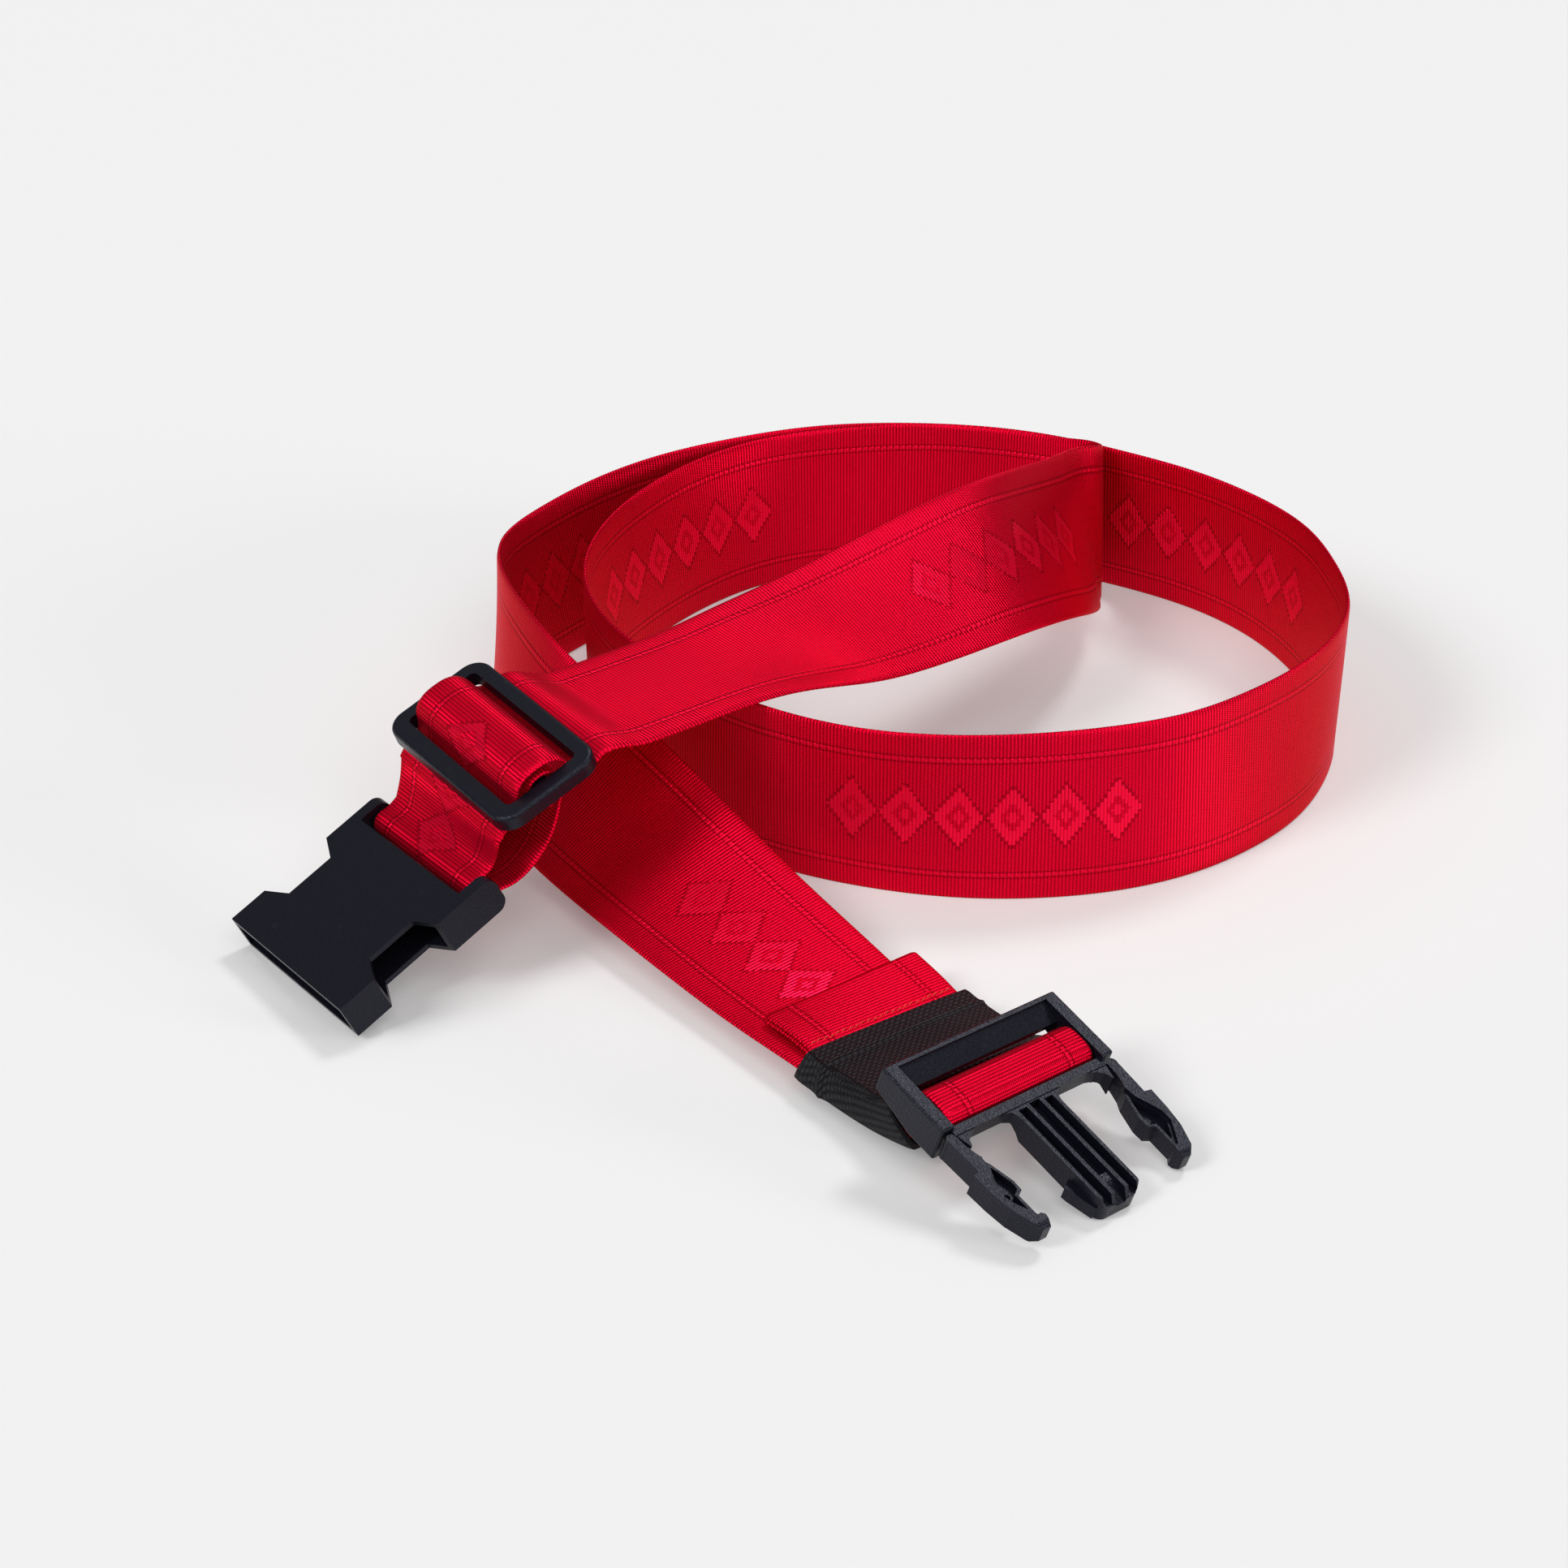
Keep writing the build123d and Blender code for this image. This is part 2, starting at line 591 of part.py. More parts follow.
# ---- tri-glide ----
with BuildPart() as tri_glide:
    with BuildSketch(GLIDE.offset(-GLIDE_THICK)):
        RectangleRounded(GLIDE_LENGTH, GLIDE_WIDTH, GLIDE_CORNER)
    extrude(amount=GLIDE_THICK)
    fillet(tri_glide.edges().group_by(Axis(GLIDE.origin, GLIDE.z_dir))[-1], 1.2)
    rear_edge = GLIDE_WIDTH / 2 - GLIDE_REAR_BAR
    front_edge = GLIDE_WIDTH / 2 - GLIDE_FRONT_BAR
    with BuildSketch(GLIDE.offset(-GLIDE_THICK - 1)):
        for low, high in ((GLIDE_BAR_HALF, rear_edge), (-front_edge, -GLIDE_BAR_HALF)):
            with Locations((0, (low + high) / 2)):
                RectangleRounded(2 * SLOT_HALF, high - low, 1.8)
    extrude(amount=GLIDE_THICK + 2, mode=Mode.SUBTRACT)
    with BuildSketch(GLIDE_SIDE):
        Polygon((-3, 1), (3, 1), (3, GLIDE_BAR_TOP), (-3, GLIDE_BAR_TOP), align=None)
    extrude(amount=SLOT_HALF, both=True, mode=Mode.SUBTRACT)
save(tri_glide, "tri_glide")

# ---- webbing through the tri-glide and round the socket's bar ----
glide_wrap = side_path(GLIDE, GLIDE_WRAP, 1.8)
save(web(glide_wrap), "webbing_glide_wrap")
run_end = section(route, route[0][-1])
save(web(bridge(run_end, glide_wrap[0], 5)), "webbing_glide_lead")
bar_y, bar_z = SOCKET_BAR
turns = [math.radians(degrees) for degrees in range(20, -201, -20)]
around = [(bar_y + SOCKET_TURN_R * math.sin(a), bar_z + SOCKET_TURN_R * math.cos(a)) for a in turns]
socket_wrap_path = [(55.5, -1.5)] + around + [(56.5, -10.2)]
socket_wrap = side_path(SOCKET, socket_wrap_path, 1.4)
save(web(socket_wrap), "webbing_socket_wrap")
save(web(bridge(glide_wrap[-1], socket_wrap[0], 6)), "webbing_socket_upper")
sewn_end = side_path(GLIDE, SEWN_END, 1.4)
save(web(sewn_end), "webbing_sewn_end")
save(web(bridge(socket_wrap[-1], sewn_end[0], 9)), "webbing_socket_lower")
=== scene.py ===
import math

import bpy
import numpy as np
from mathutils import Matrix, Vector


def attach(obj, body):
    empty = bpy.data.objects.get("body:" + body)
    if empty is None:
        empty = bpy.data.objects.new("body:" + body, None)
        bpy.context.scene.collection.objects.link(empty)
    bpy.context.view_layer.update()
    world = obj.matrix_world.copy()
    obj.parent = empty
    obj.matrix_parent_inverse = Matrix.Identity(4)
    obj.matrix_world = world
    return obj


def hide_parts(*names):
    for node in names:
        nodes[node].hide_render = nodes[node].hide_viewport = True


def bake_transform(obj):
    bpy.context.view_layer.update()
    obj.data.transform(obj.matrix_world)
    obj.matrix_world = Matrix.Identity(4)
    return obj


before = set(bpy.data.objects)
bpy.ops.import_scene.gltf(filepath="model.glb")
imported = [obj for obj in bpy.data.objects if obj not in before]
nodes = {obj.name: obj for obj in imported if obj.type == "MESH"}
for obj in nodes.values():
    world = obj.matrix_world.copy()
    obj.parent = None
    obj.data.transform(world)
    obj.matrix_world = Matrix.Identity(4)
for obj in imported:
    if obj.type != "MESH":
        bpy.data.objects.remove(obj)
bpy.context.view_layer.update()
scene = bpy.context.scene

MM = 0.001
# The route below is in the layout's own millimetres; the frame's origin is at this spot in it.
LAYOUT_MID = Vector((8.45, -39.04, 0.2))

# ---------------------------------------------------------------- camera
camera = bpy.data.objects.new("camera", bpy.data.cameras.new("camera"))
scene.collection.objects.link(camera)
camera.data.angle = math.radians(25.24)
camera.location = (Vector((0.0, -904.1, 503.6)) - LAYOUT_MID) * MM
camera.rotation_euler = (math.radians(60.88), 0.0, 0.0)
camera.data.clip_start = 0.05
scene.camera = camera

# ---------------------------------------------------------------- the webbing's route, as in the CAD
# Stations of the centre line: x, y, z and the lean of the width away from upright, in degrees.
# They are rounded from a fit to the photograph, not chosen by hand.
WIDTH, THICK = 50.0, 1.4
ROUTE = [
    (51.0, -179.5, 8.0, 93),
    (44.5, -171.5, 6.3, 93),
    (34.5, -159.5, 5.6, 93),
    (22.0, -144.5, 6.0, 93),
    (5.0, -123.0, 8.0, 87),
    (-11.5, -102.0, 11.0, 81),
    (-28.0, -81.0, 15.0, 73),
    (-44.5, -60.5, 20.0, 60),
    (-61.0, -40.0, 25.5, 45),
    (-74.0, -16.5, 28.0, 31),
    (-81.5, 9.0, 28.0, 17),
    (-86.0, 36.0, 27.0, 5),
    (-84.0, 62.0, 26.0, -4),
    (-72.0, 85.0, 25.5, -8),
    (-56.0, 106.0, 25.5, -9),
    (-37.0, 124.0, 25.5, -7),
    (-15.0, 137.5, 25.5, -4),
    (9.5, 147.5, 25.5, -2),
    (35.5, 152.0, 25.5, 0),
    (61.5, 150.5, 25.5, 1),
    (87.0, 143.0, 25.5, 3),
    (109.5, 130.5, 25.5, 5),
    (130.5, 115.0, 25.5, 5),
    (147.3, 95.5, 25.5, 3),
    (159.0, 72.0, 25.5, 0),
    (164.5, 46.5, 25.5, 0),
    (165.0, 20.0, 25.5, -1),
    (158.5, -2.0, 25.5, -1),
    (147.0, -21.5, 25.5, 1),
    (131.0, -38.5, 25.5, 3),
    (112.5, -52.0, 25.5, 4),
    (91.0, -60.5, 25.5, 5),
    (68.5, -64.5, 25.5, 4),
    (45.5, -64.5, 25.5, 2),
    (22.5, -60.0, 25.5, 0),
    (1.5, -51.0, 25.5, 0),
    (-17.5, -37.5, 25.5, 0),
    (-33.5, -21.0, 25.5, 0),
    (-46.5, -2.0, 25.5, 0),
    (-55.5, 19.0, 25.5, 0),
    (-59.0, 44.5, 25.5, -1),
    (-54.0, 72.5, 25.5, -3),
    (-42.0, 98.0, 25.5, -5),
    (-25.5, 120.5, 25.5, -5),
    (-4.5, 137.5, 25.5, -4),
    (22.5, 146.3, 25.5, -3),
    (51.0, 147.8, 25.5, -3),
    (78.0, 141.3, 25.5, -3),
    (91.0, 134.5, 26.2, -5),
    (98.6, 128.5, 27.5, -5),
    (101.6, 121.5, 29.0, 0),
    (100.4, 115.0, 31.0, 8),
    (97.0, 108.5, 33.5, 14),
    (92.5, 96.5, 37.0, 22),
    (87.5, 84.0, 41.0, 30),
    (75.0, 60.0, 49.0, 43),
    (57.5, 38.0, 53.0, 53),
    (36.0, 19.5, 51.8, 63),
    (13.5, 2.0, 50.5, 74),
    (-8.0, -16.5, 52.4, 85),
    (-19.0, -26.0, 53.0, 89),
    (-29.5, -34.8, 53.2, 90),
    (-40.5, -44.0, 53.3, 90),
    (-51.0, -52.5, 53.4, 90),
]
# The tail lies over the run: at a distance along the route, its lift and its sideways shift.
TAIL_LIFT = [
    (4.0, 8.0, 0.4),
    (10.0, 5.3, 0.8),
    (16.0, 3.5, 1.5),
    (24.0, 2.8, 2.6),
    (42.0, 2.6, 4.4),
    (48.0, 3.1, 5.0),
    (66.0, 3.1, 5.6),
]
TAIL_START, HEM_FOLD, HEM_LENGTH = 10.5, 63.5, 17.5
# Centre lines round the bars, seen from the side of each hard part: y, z.
PLUG_WRAP = [
    (17.4, -13.0),
    (20.0, -10.0),
    (21.3, -6.8),
    (21.3, -4.0),
    (19.9, -1.2),
    (17.0, -0.4),
    (14.0, -0.4),
    (11.0, -1.2),
    (9.5, -4.0),
    (9.3, -7.2),
    (8.0, -10.4),
    (5.0, -13.0),
]
GLIDE_WRAP = [
    (18.0, -6.3),
    (13.2, -6.2),
    (10.4, -4.8),
    (9.0, -2.0),
    (7.8, 1.0),
    (4.8, 3.6),
    (0.0, 4.4),
    (-4.8, 3.6),
    (-7.6, 1.0),
    (-8.4, -2.0),
    (-9.6, -4.6),
    (-12.0, -6.0),
    (-14.5, -6.9),
    (-17.5, -9.0),
]
SEWN_END = [
    (2.2, -11.4),
    (4.2, -8.2),
    (4.7, -4.4),
    (4.0, -1.0),
    (2.4, 0.5),
    (0.0, 0.9),
    (-2.4, 0.5),
    (-4.0, -1.0),
    (-4.7, -4.0),
    (-4.2, -6.8),
    (-2.4, -8.8),
    (0.2, -10.2),
]
SOCKET_BAR, SOCKET_TURN_R = (49.5, -5.5), 3.7


def spline_bend(knots, values):
    """Second derivatives of the natural cubic spline through the values."""
    count = len(knots)
    gaps = [knots[i + 1] - knots[i] for i in range(count - 1)]
    upper, right = [0.0] * count, [0.0] * count
    for i in range(1, count - 1):
        slope = (values[i + 1] - values[i]) / gaps[i] - (values[i] - values[i - 1]) / gaps[i - 1]
        pivot = 2 * (gaps[i - 1] + gaps[i]) - gaps[i - 1] * upper[i - 1]
        upper[i] = gaps[i] / pivot
        right[i] = (6 * slope - gaps[i - 1] * right[i - 1]) / pivot
    bend = [0.0] * count
    for i in range(count - 2, 0, -1):
        bend[i] = right[i] - upper[i] * bend[i + 1]
    return bend


class Curve:
    """A natural cubic spline through stations, spaced by their distance apart."""

    def __init__(self, points, knots=None):
        if knots is None:
            knots = [0.0]
            for p, q in zip(points, points[1:]):
                knots.append(knots[-1] + math.dist(p[:3], q[:3]))
        self.knots = knots
        self.columns = [[p[k] for p in points] for k in range(len(points[0]))]
        self.bends = [spline_bend(knots, column) for column in self.columns]
        self.end = knots[-1]

    def at(self, s):
        knots = self.knots
        i = 0
        while i < len(knots) - 2 and s > knots[i + 1]:
            i += 1
        gap = knots[i + 1] - knots[i]
        a = (knots[i + 1] - s) / gap
        b = 1 - a
        found = []
        for column, bend in zip(self.columns, self.bends):
            curve = ((a**3 - a) * bend[i] + (b**3 - b) * bend[i + 1]) * gap * gap / 6
            found.append(a * column[i] + b * column[i + 1] + curve)
        return found


class Pose:
    """The local axes of a hard part: x across it, y along it, z out of its top face."""

    def __init__(self, origin, yaw, pitch, roll):
        yaw, pitch, roll = (math.radians(v) for v in (yaw, pitch, roll))
        self.o = Vector(origin) - LAYOUT_MID
        self.y = Vector((math.cos(pitch) * math.cos(yaw), math.cos(pitch) * math.sin(yaw), math.sin(pitch)))
        side = Vector((math.sin(yaw), -math.cos(yaw), 0))
        self.x = side * math.cos(roll) + side.cross(self.y) * math.sin(roll)
        self.z = self.x.cross(self.y)

    def at(self, x, y, z):
        return self.o + self.x * x + self.y * y + self.z * z


PLUG = Pose((46.0, -173.4, 27.2), -49.3, -18.5, 2.8)
SOCKET = Pose((-132.3, -117.1, 10.9), 36.6, 25.9, 1.9)
GLIDE = Pose((-79.5, -71.9, 54.2), 34.6, 22.2, -4.3)
route = Curve(ROUTE)
lifts = Curve([row[1:] for row in TAIL_LIFT], [row[0] for row in TAIL_LIFT])


def section(s):
    """Centre, across and heading of the webbing at a distance along its route."""
    x, y, z, lean = route.at(s)
    low, high = max(s - 0.5, 0.0), min(s + 0.5, route.end)
    before, after = route.at(low), route.at(high)
    heading = Vector([after[k] - before[k] for k in range(3)]).normalized()
    upright = (Vector((0, 0, 1)) - heading * heading.z).normalized()
    lean = math.radians(lean)
    across = upright * math.cos(lean) + heading.cross(upright) * math.sin(lean)
    return Vector((x, y, z)) - LAYOUT_MID, across, heading


def over_run(s, rise=0.0):
    """The same for the tail, which lies over the run."""
    centre, across, heading = section(s)
    lift, shift = lifts.at(s)
    return centre + across * shift + across.cross(heading) * (lift + rise), across, heading


def spaced(start, end, step):
    count = max(2, round(abs(end - start) / step) + 1)
    return [start + (end - start) * i / (count - 1) for i in range(count)]


def side_path(pose, points, step):
    """Sections round a bar of a hard part, along a curve in its side view."""
    curve = Curve([(y, z, 0.0) for y, z in points])
    found = []
    for s in spaced(0.0, curve.end, step):
        y, z, _ = curve.at(s)
        before, after = curve.at(max(s - 0.2, 0.0)), curve.at(min(s + 0.2, curve.end))
        heading = (pose.y * (after[0] - before[0]) + pose.z * (after[1] - before[1])).normalized()
        found.append((pose.at(0, y, z), -pose.x, heading))
    return found


def bridge(first, last, count):
    """Sections from one to another: an even turn of the width, and a smooth path between."""
    start, start_across, start_heading = first
    end, end_across, end_heading = last
    reach = (end - start).length
    found = []
    for i in range(count):
        t = i / (count - 1)
        h0, h1 = 2 * t**3 - 3 * t**2 + 1, 3 * t**2 - 2 * t**3
        g0, g1 = t**3 - 2 * t**2 + t, t**3 - t**2
        centre = start * h0 + end * h1 + (start_heading * g0 + end_heading * g1) * reach
        d0, d1 = 6 * t * t - 6 * t, 6 * t - 6 * t * t
        e0, e1 = 3 * t * t - 4 * t + 1, 3 * t * t - 2 * t
        across = (start_across * (1 - t) + end_across * t).normalized()
        heading = start * d0 + end * d1 + (start_heading * e0 + end_heading * e1) * reach
        heading = (heading - across * heading.dot(across)).normalized()
        centre += across * (start + (end - start) * t - centre).dot(across)
        found.append((centre, across, heading))
    return found


# ---------------------------------------------------------------- meshes
def new_object(name, vertices, faces):
    mesh = bpy.data.meshes.new(name)
    mesh.from_pydata([tuple(v) for v in vertices], [], faces)
    mesh.update()
    mesh.polygons.foreach_set("use_smooth", [True] * len(mesh.polygons))
    obj = bpy.data.objects.new(name, mesh)
    scene.collection.objects.link(obj)
    return obj


def lay_weave(obj, spots):
    """A UV layer that holds each vertex's place on the cloth, in millimetres."""
    layer = obj.data.uv_layers.new(name="weave")
    at = np.zeros(len(obj.data.loops), dtype=np.int32)
    obj.data.loops.foreach_get("vertex_index", at)
    layer.data.foreach_set("uv", np.array(spots, dtype=np.float32)[at].ravel())


HALF_ACROSS = [0.18, 0.36, 0.52, 0.66, 0.78, 0.88, 0.95, 0.985, 1]
ACROSS = [-a for a in reversed(HALF_ACROSS)] + [0] + HALF_ACROSS
DRAWN_THICK = THICK - 0.1
SCALLOP = 0.16
CAP_INSET = 0.06


def edge_body(a):
    """The share of the full thickness left at a place across the strip."""
    return 1.0 if abs(a) < 0.96 else 0.72 if abs(a) < 0.99 else 0.42


def ribbon(name, sections, start_v, way=1, width=WIDTH, bend=None):
    """Woven strip through the sections: thin at its edges and scalloped where the weft turns."""
    ring = [(a, edge_body(a)) for a in ACROSS] + [(a, -edge_body(a)) for a in reversed(ACROSS)]
    count = len(ring)
    # a ring just inside each cut end keeps its shading from showing as a seam
    first, first_across, first_heading = sections[0]
    final, final_across, final_heading = sections[-1]
    close_in = (first + first_heading * CAP_INSET, first_across, first_heading)
    close_out = (final - final_heading * CAP_INSET, final_across, final_heading)
    sections = [sections[0], close_in] + list(sections[1:-1]) + [close_out, sections[-1]]
    vertices, spots = [], []
    v = start_v
    last = None
    for index, (centre, across, heading) in enumerate(sections):
        if last is not None:
            v += way * (centre - last).length
        last = centre
        up = across.cross(heading)
        edge = SCALLOP * (1 if index % 2 else -1)
        for a, body in ring:
            reach = a * width / 2
            if abs(a) > 0.99:
                reach += math.copysign(edge, a)
            out = bend(v, a) if bend else 0.0
            vertices.append((centre + across * reach + up * (body * DRAWN_THICK / 2 + out)) * MM)
            spots.append((reach, v))
    faces = []
    for i in range(len(sections) - 1):
        for k in range(count):
            a, b = i * count + k, i * count + (k + 1) % count
            faces.append((a, b, b + count, a + count))
    faces.append(tuple(range(count - 1, -1, -1)))
    faces.append(tuple((len(sections) - 1) * count + k for k in range(count)))
    obj = new_object(name, vertices, faces)
    for cut_face in list(obj.data.polygons)[-2:]:
        cut_face.use_smooth = False
    lay_weave(obj, spots)
    return obj, v


def wave(v, a):
    """Slack in the laid-out webbing: it never lies perfectly flat."""
    soft = 0.22 * math.sin(v / 31.0 + 0.6) * a + 0.16 * math.sin(v / 17.0 + 2.0 * a)
    cup = 0.35 * math.sin(v / 83.0 + 1.0) * (a * a - 0.4)
    return soft + cup


def fade(v, low, high):
    """Rises smoothly from 0 at low to 1 at high."""
    t = min(max((v - low) / (high - low), 0.0), 1.0)
    return t * t * (3 - 2 * t)


# The run is one strip between these two distances; the strips at its ends move with the hard parts.
RUN_CUT = 12.0
END_CUT = route.end - 14.0
# where along the run one edge curls in, and over what length
CURL_AT, CURL_SPREAD = 455.0, 42.0


def run_bend(v, a):
    """Slack along the run, none near its ends, and one edge curled over a short stretch."""
    ends = fade(v, RUN_CUT + 40, RUN_CUT + 110) * (1 - fade(v, END_CUT - 90, END_CUT - 20))
    curl = -1.3 * max(a - 0.45, 0.0) * math.exp(-(((v - CURL_AT) / CURL_SPREAD) ** 2)) * 1.8
    return wave(v, a) * ends + curl


run_sections = [section(s) for s in spaced(RUN_CUT, END_CUT, 1.0)]
webbing_main, end_v = ribbon("woven_run", run_sections, RUN_CUT, bend=run_bend)

# ---------------------------------------------------------------- the plug's end of the webbing
plug_wrap = side_path(PLUG, PLUG_WRAP, 0.9)
centre, across, heading = section(0.0)
down = [section(s) for s in spaced(RUN_CUT, 0.0, 1.0)]
down = [(c, a, -h) for c, a, h in down]
lower = bridge((centre, across, -heading), plug_wrap[0], 9)
upper = bridge(plug_wrap[-1], over_run(TAIL_START), 9)

plug_end = down[:-1] + lower[:-1] + plug_wrap[:-1] + upper[:-1]
plug_end += [over_run(TAIL_START), over_run(RUN_CUT)]
webbing_plug_end, tail_v = ribbon("woven_plug_end", plug_end, RUN_CUT, way=-1)

# the tail with its hem turned under, in one strip
HEM_REACH, HEM_RADIUS = 0.9, 0.78
tail = [over_run(s) for s in spaced(RUN_CUT, HEM_FOLD, 1.0)]
fold_centre, fold_across, fold_heading = tail[-1]
fold_up = fold_across.cross(fold_heading)
turn = []
for degrees in range(30, 180, 30):
    angle = math.radians(degrees)
    drop = HEM_RADIUS * (1 - math.cos(angle))
    spot = fold_centre + fold_heading * (HEM_REACH * math.sin(angle)) - fold_up * drop
    turn.append((spot, fold_across, fold_heading * math.cos(angle) - fold_up * math.sin(angle)))
under = [over_run(s, -2 * HEM_RADIUS) for s in spaced(HEM_FOLD, HEM_FOLD - HEM_LENGTH, 1.0)]
under = [(c, a, -h) for c, a, h in under]
webbing_tail, _ = ribbon("woven_tail", tail + turn + under, tail_v, way=-1)

# ---------------------------------------------------------------- the adjuster's end of the webbing
glide_wrap = side_path(GLIDE, GLIDE_WRAP, 0.9)
entering = [section(s) for s in spaced(END_CUT, route.end, 1.0)]
lead = bridge(section(route.end), glide_wrap[0], 8)
webbing_glide_lead, v_now = ribbon("woven_glide_lead", entering[:-1] + lead, end_v)
webbing_glide_wrap, v_now = ribbon("woven_glide_wrap", glide_wrap, v_now, width=51.0)

bar_y, bar_z = SOCKET_BAR
turns = [math.radians(degrees) for degrees in range(20, -201, -20)]
around = [
    (bar_y + SOCKET_TURN_R * math.sin(a), bar_z + SOCKET_TURN_R * math.cos(a)) for a in turns
]
socket_wrap = side_path(SOCKET, [(55.5, -1.5)] + around + [(56.5, -10.2)], 0.9)
sewn_end = side_path(GLIDE, SEWN_END, 0.9)
socket_loop = bridge(glide_wrap[-1], socket_wrap[0], 12)[:-1] + socket_wrap[:-1]
socket_loop += bridge(socket_wrap[-1], sewn_end[0], 26)
webbing_socket_loop, v_now = ribbon("woven_socket_loop", socket_loop, v_now, width=49.6)
webbing_sewn_end, v_now = ribbon("woven_sewn_end", sewn_end, v_now, width=49.6)

# ---------------------------------------------------------------- keeper
# Its front edge is slanted: it starts at different distances above and below the webbing.
KEEPER_FRONT_TOP, KEEPER_FRONT_LOW, KEEPER_REAR, KEEPER_THICK = 8.4, -2.6, 43.6, 1.25
KEEPER_CROWN = 0.35
SIDE_BULGE = 1.1
SIDE_STEPS, END_STEPS = 26, 6


def keeper_ring(s_top, s_low, grow):
    """Points round the doubled webbing: over the top, round one side, underneath, round the other."""
    low, across, heading = section(max(s_low, 0.5))
    low = low + heading * min(s_low - 0.5, 0.0)
    base, base_across, base_heading = section(s_top)
    lift, shift = lifts.at(s_top)
    up = base_across.cross(base_heading)
    half = WIDTH / 2 + 0.5 + grow
    top_rise = lift + THICK / 2 + KEEPER_CROWN + grow
    low_drop = THICK / 2 + 0.3 + grow
    points = []
    for i in range(SIDE_STEPS + 1):
        t = -half + (2 * half) * i / SIDE_STEPS
        crown = KEEPER_CROWN * (1 - (t / half) ** 4)
        points.append(base + base_across * (t + shift) + up * (top_rise + crown - KEEPER_CROWN))
    low_up = across.cross(heading)
    for i in range(1, END_STEPS):
        angle = math.pi * i / END_STEPS
        a = (1 + math.cos(angle)) / 2
        top = base + base_across * (half + shift) + up * top_rise
        bottom = low + across * half - low_up * low_drop
        points.append(top * a + bottom * (1 - a) + across * (SIDE_BULGE * math.sin(angle)))
    for i in range(SIDE_STEPS + 1):
        t = half - (2 * half) * i / SIDE_STEPS
        points.append(low + across * t - low_up * low_drop)
    for i in range(1, END_STEPS):
        angle = math.pi * i / END_STEPS
        a = (1 - math.cos(angle)) / 2
        top = base + base_across * (-half + shift) + up * top_rise
        bottom = low - across * half - low_up * low_drop
        points.append(top * a + bottom * (1 - a) - across * (SIDE_BULGE * math.sin(angle)))
    return points


KEEPER_RIDGE = 0.79


def hump(t, middle):
    """A narrow rise at one place along the keeper."""
    return math.exp(-(((t - middle) / 0.03) ** 2))


def keeper_mesh(name):
    """The elastic band: its outer skin from front to rear, and its inner skin back again."""
    stations = spaced(0.0, 1.0, 0.035)
    loops = []
    for t in stations:
        s_top = KEEPER_FRONT_TOP + (KEEPER_REAR - KEEPER_FRONT_TOP) * t
        s_low = KEEPER_FRONT_LOW + (KEEPER_REAR - KEEPER_FRONT_LOW) * t
        lips = 0.25 * hump(t, 1.0) + 0.2 * hump(t, 0.0)
        ridge = 0.42 * hump(t, KEEPER_RIDGE)
        loops.append((keeper_ring(s_top, s_low, KEEPER_THICK + ridge - lips), s_top))
    gap = 0.05
    inner_rear = keeper_ring(KEEPER_REAR - gap, KEEPER_REAR - gap, gap)
    inner_front = keeper_ring(KEEPER_FRONT_TOP + gap, KEEPER_FRONT_LOW + gap, gap)
    all_loops = loops + [(inner_rear, KEEPER_REAR), (inner_front, KEEPER_FRONT_TOP)]
    count = len(all_loops[0][0])
    vertices, spots, faces = [], [], []
    for points, s in all_loops:
        girth = 0.0
        for k, p in enumerate(points):
            if k:
                girth += (p - points[k - 1]).length
            vertices.append(p * MM)
            spots.append((girth, s))
    rows = len(all_loops)
    for i in range(rows):
        for k in range(count):
            a, b = i * count + k, i * count + (k + 1) % count
            c, d = ((i + 1) % rows) * count + (k + 1) % count, ((i + 1) % rows) * count + k
            faces.append((a, d, c, b))
    obj = new_object(name, vertices, faces)
    lay_weave(obj, spots)
    return obj


keeper = keeper_mesh("keeper")


# ---------------------------------------------------------------- stitches
def stitches(name, rows, length=2.1, radius=0.27):
    """Short lengths of thread sunk at both ends, one mesh. Each is (middle, direction, up)."""
    vertices, faces = [], []
    around_count, along = 6, 6
    for middle, direction, up in rows:
        side = direction.cross(up).normalized()
        base = len(vertices)
        for i in range(along + 1):
            t = i / along
            arch = math.sin(math.pi * t)
            spot = middle + direction * ((t - 0.5) * length) + up * (0.32 * arch - 0.12)
            size = radius * (0.45 + 0.55 * arch)
            for k in range(around_count):
                angle = 2 * math.pi * k / around_count
                flank = side * (size * math.cos(angle)) + up * (0.8 * size * math.sin(angle))
                vertices.append((spot + flank) * MM)
        for i in range(along):
            start = base + i * around_count
            for k in range(around_count):
                a, b = start + k, start + (k + 1) % around_count
                faces.append((a, b, b + around_count, a + around_count))
        faces.append(tuple(base + k for k in range(around_count - 1, -1, -1)))
        faces.append(tuple(base + along * around_count + k for k in range(around_count)))
    return new_object(name, vertices, faces)


HEM_STITCHES, HEM_PITCH = 23, 2.08
SEAM_STITCHES, SEAM_PITCH = 22, 2.2
hem_rows = []
hem_at = HEM_FOLD - HEM_LENGTH + 0.9
for i in range(HEM_STITCHES):
    centre, across, heading = over_run(hem_at + 0.25 * math.sin(i * 1.7))
    up = across.cross(heading)
    reach = (i - (HEM_STITCHES - 1) / 2) * HEM_PITCH
    slant = (across + heading * (0.34 if i % 2 else 0.22)).normalized()
    hem_rows.append((centre + across * reach + up * (THICK / 2 - 0.02), slant, up))
hem_stitches = stitches("hem_stitches", hem_rows)

